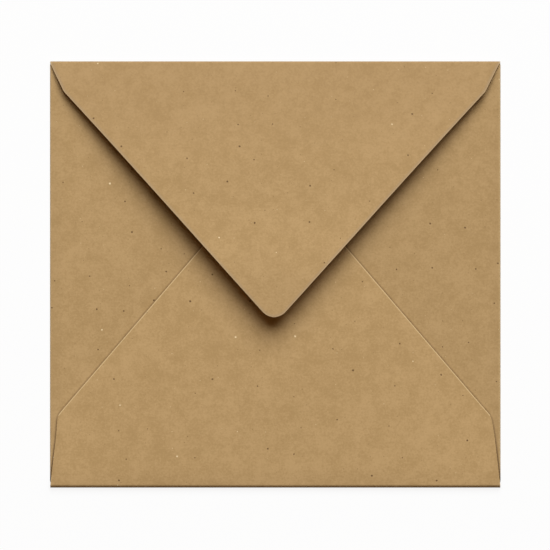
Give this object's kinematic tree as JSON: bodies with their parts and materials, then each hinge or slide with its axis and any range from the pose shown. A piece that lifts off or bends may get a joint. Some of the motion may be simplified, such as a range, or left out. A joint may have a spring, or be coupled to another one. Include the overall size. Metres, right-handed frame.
{
  "type": "square paper envelope",
  "caption": "Square brown paper envelope with a pointed seal flap sprung slightly open over two side flaps and a deep bottom flap.",
  "frame": {"origin": "on the table, under the middle of the envelope's outline, at the outer face of the front panel", "axes": "+X to the right along the top crease and +Y up the envelope towards the top crease, both as seen from the flap side; +Z square to the front panel, towards the flap"},
  "size_m": [0.16, 0.1514, 0.0138],
  "materials": {
    "kraft_sheet": "uncoated brown kraft paper, matt, with fine fibres and dark and cream flecks",
    "kraft_fold": "the same kraft paper, rolled over a scored crease",
    "seam_glue": "thin film of dried paper glue",
    "flap_gum": "thin satin film of dry gum that sticks when it is wetted"
  },
  "bodies": {
    "folded_body": {"front_panel": "kraft_sheet", "left_fold": "kraft_fold", "right_fold": "kraft_fold", "bottom_fold": "kraft_fold", "top_fold": "kraft_fold", "left_side_flap": "kraft_sheet", "right_side_flap": "kraft_sheet", "bottom_flap": "kraft_sheet", "left_seam_glue": "seam_glue", "right_seam_glue": "seam_glue"},
    "closing_flap": {"seal_flap": "kraft_sheet", "seal_gum": "flap_gum"}
  },
  "joints": [
    {"name": "top_crease", "type": "hinge", "parent": "folded_body", "child": "closing_flap", "pos_m": [0, 0.0757, 0.00105], "axis": [-1, 0, 0], "range_deg": [-5, 164], "stiffness_Nm_per_rad": 0.01, "springref_deg": 2.58}
  ]
}
